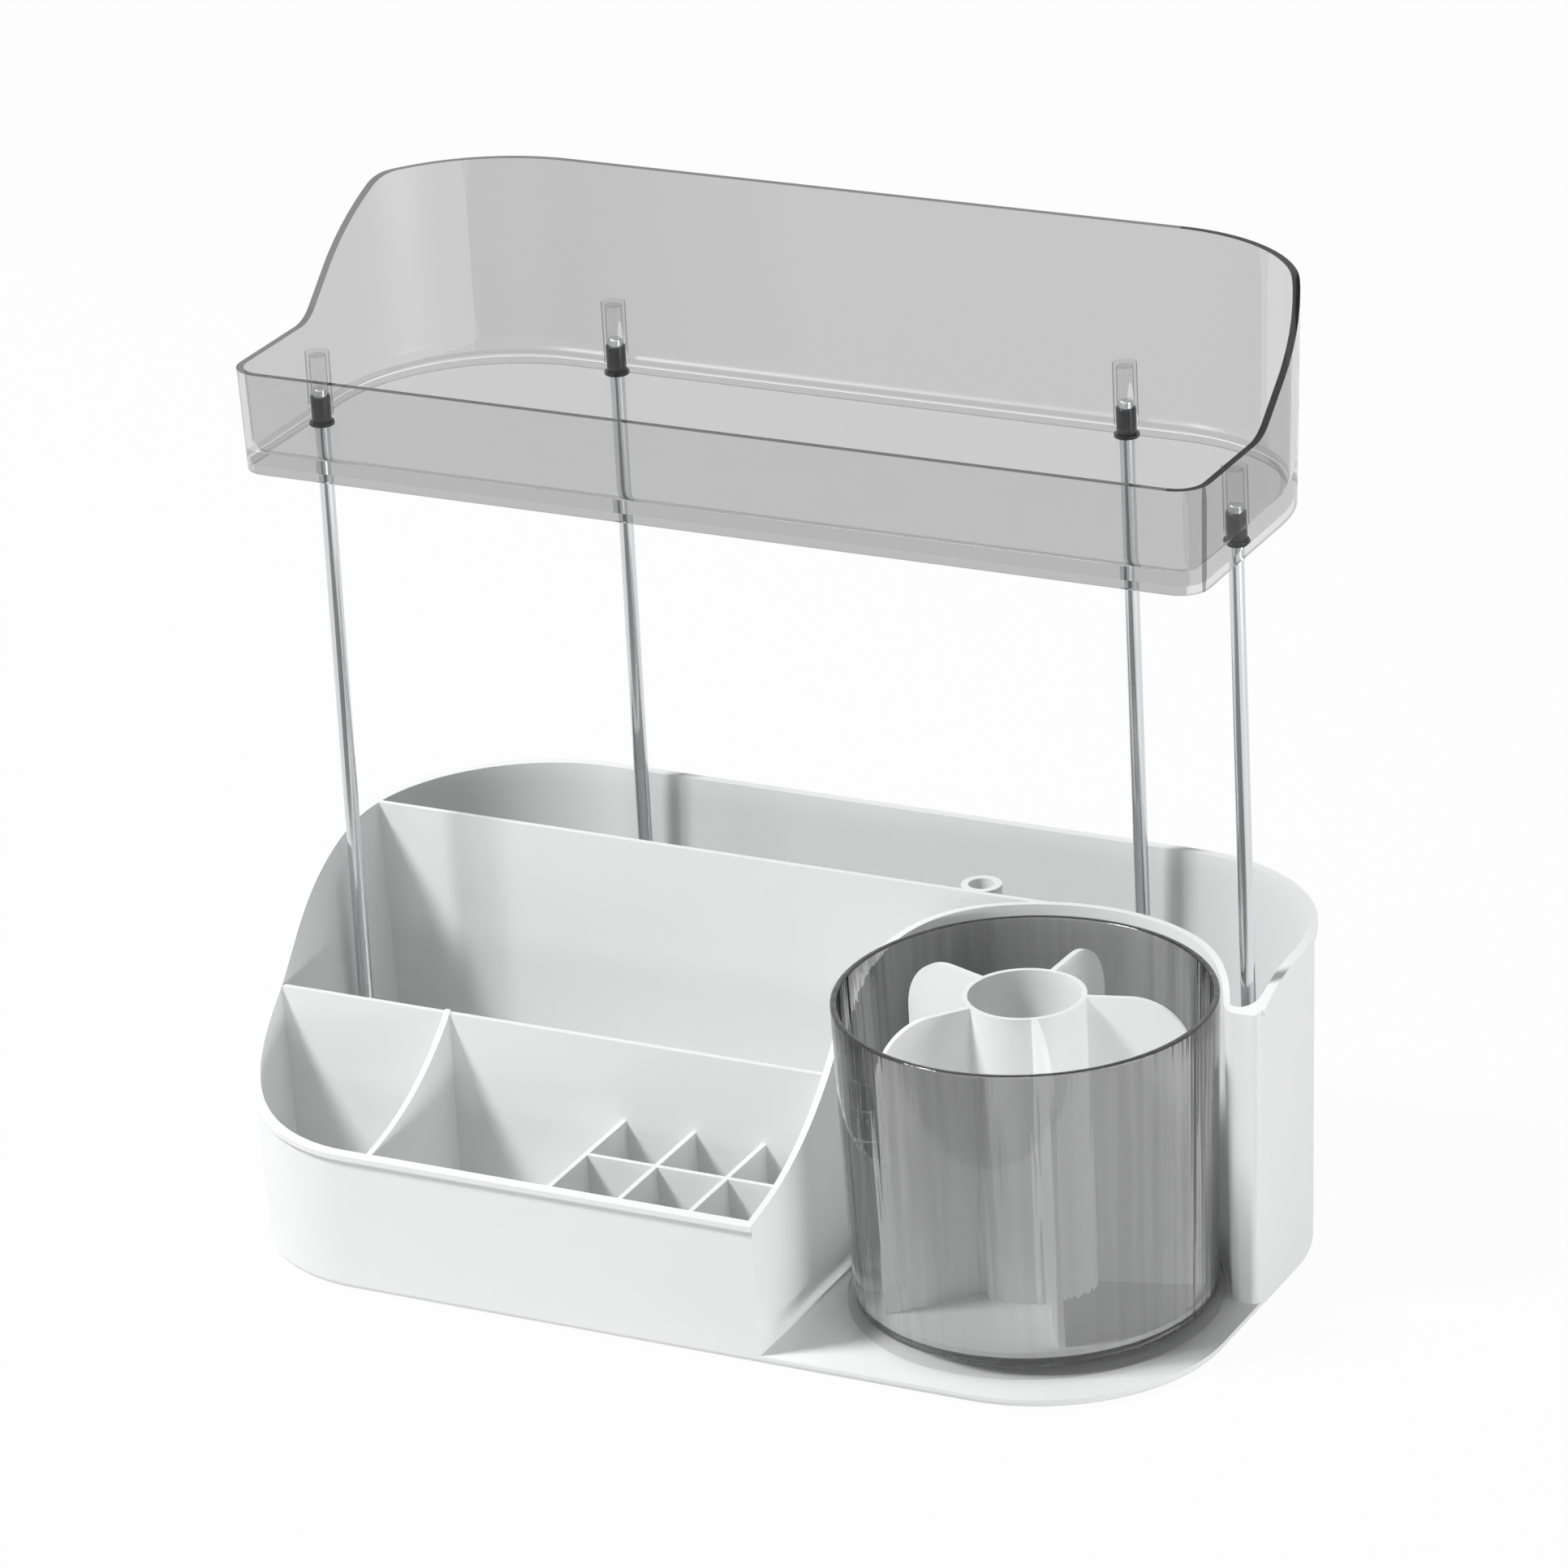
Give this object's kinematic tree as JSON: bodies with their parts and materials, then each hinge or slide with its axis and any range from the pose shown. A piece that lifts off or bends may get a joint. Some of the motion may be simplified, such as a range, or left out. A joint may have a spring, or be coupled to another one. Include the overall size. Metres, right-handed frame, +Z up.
{
  "type": "makeup organizer",
  "caption": "Two-tier makeup organizer: a divided base with lipstick cells and a turning brush cup carries a raised smoked tray on slim posts.",
  "frame": {"origin": "middle of the footprint, on the surface that the feet stand on", "axes": "+Z up, +X to the user's right, -Y towards the user"},
  "size_m": [0.317, 0.175, 0.305],
  "materials": {
    "white_abs": "satin moulded ABS",
    "smoked_styrene": "clear smoked injection-moulded styrene",
    "polished_steel": "polished stainless rod",
    "dark_styrene": "dark smoked injection-moulded styrene",
    "steel": "zinc-plated",
    "rubber": "moulded anti-slip rubber"
  },
  "bodies": {
    "base": {"base": "white_abs", "post_front_left": "polished_steel", "post_front_right": "polished_steel", "post_back_left": "polished_steel", "post_back_right": "polished_steel", "collar_front_left": "dark_styrene", "collar_front_right": "dark_styrene", "collar_back_left": "dark_styrene", "collar_back_right": "dark_styrene", "pivot_washer": "steel", "pivot_screw": "steel", "foot_1": "rubber", "foot_2": "rubber", "foot_3": "rubber", "foot_4": "rubber", "foot_5": "rubber", "foot_6": "rubber"},
    "spinner": {"turntable": "smoked_styrene", "cup": "smoked_styrene"},
    "insert": {"cup_insert": "white_abs"},
    "tray": {"upper_tray": "smoked_styrene"}
  },
  "joints": [
    {"name": "cup_spin", "type": "hinge", "parent": "base", "child": "spinner", "pos_m": [0.0915, -0.0216, 0.005], "axis": [0, 0, 1], "continuous": true},
    {"name": "insert_lift", "type": "slide", "parent": "spinner", "child": "insert", "axis": [0, 0, 1], "range_m": [0, 0.105]},
    {"name": "tray_lift", "type": "slide", "parent": "base", "child": "tray", "axis": [0, 0, 1], "range_m": [0, 0.03]}
  ]
}
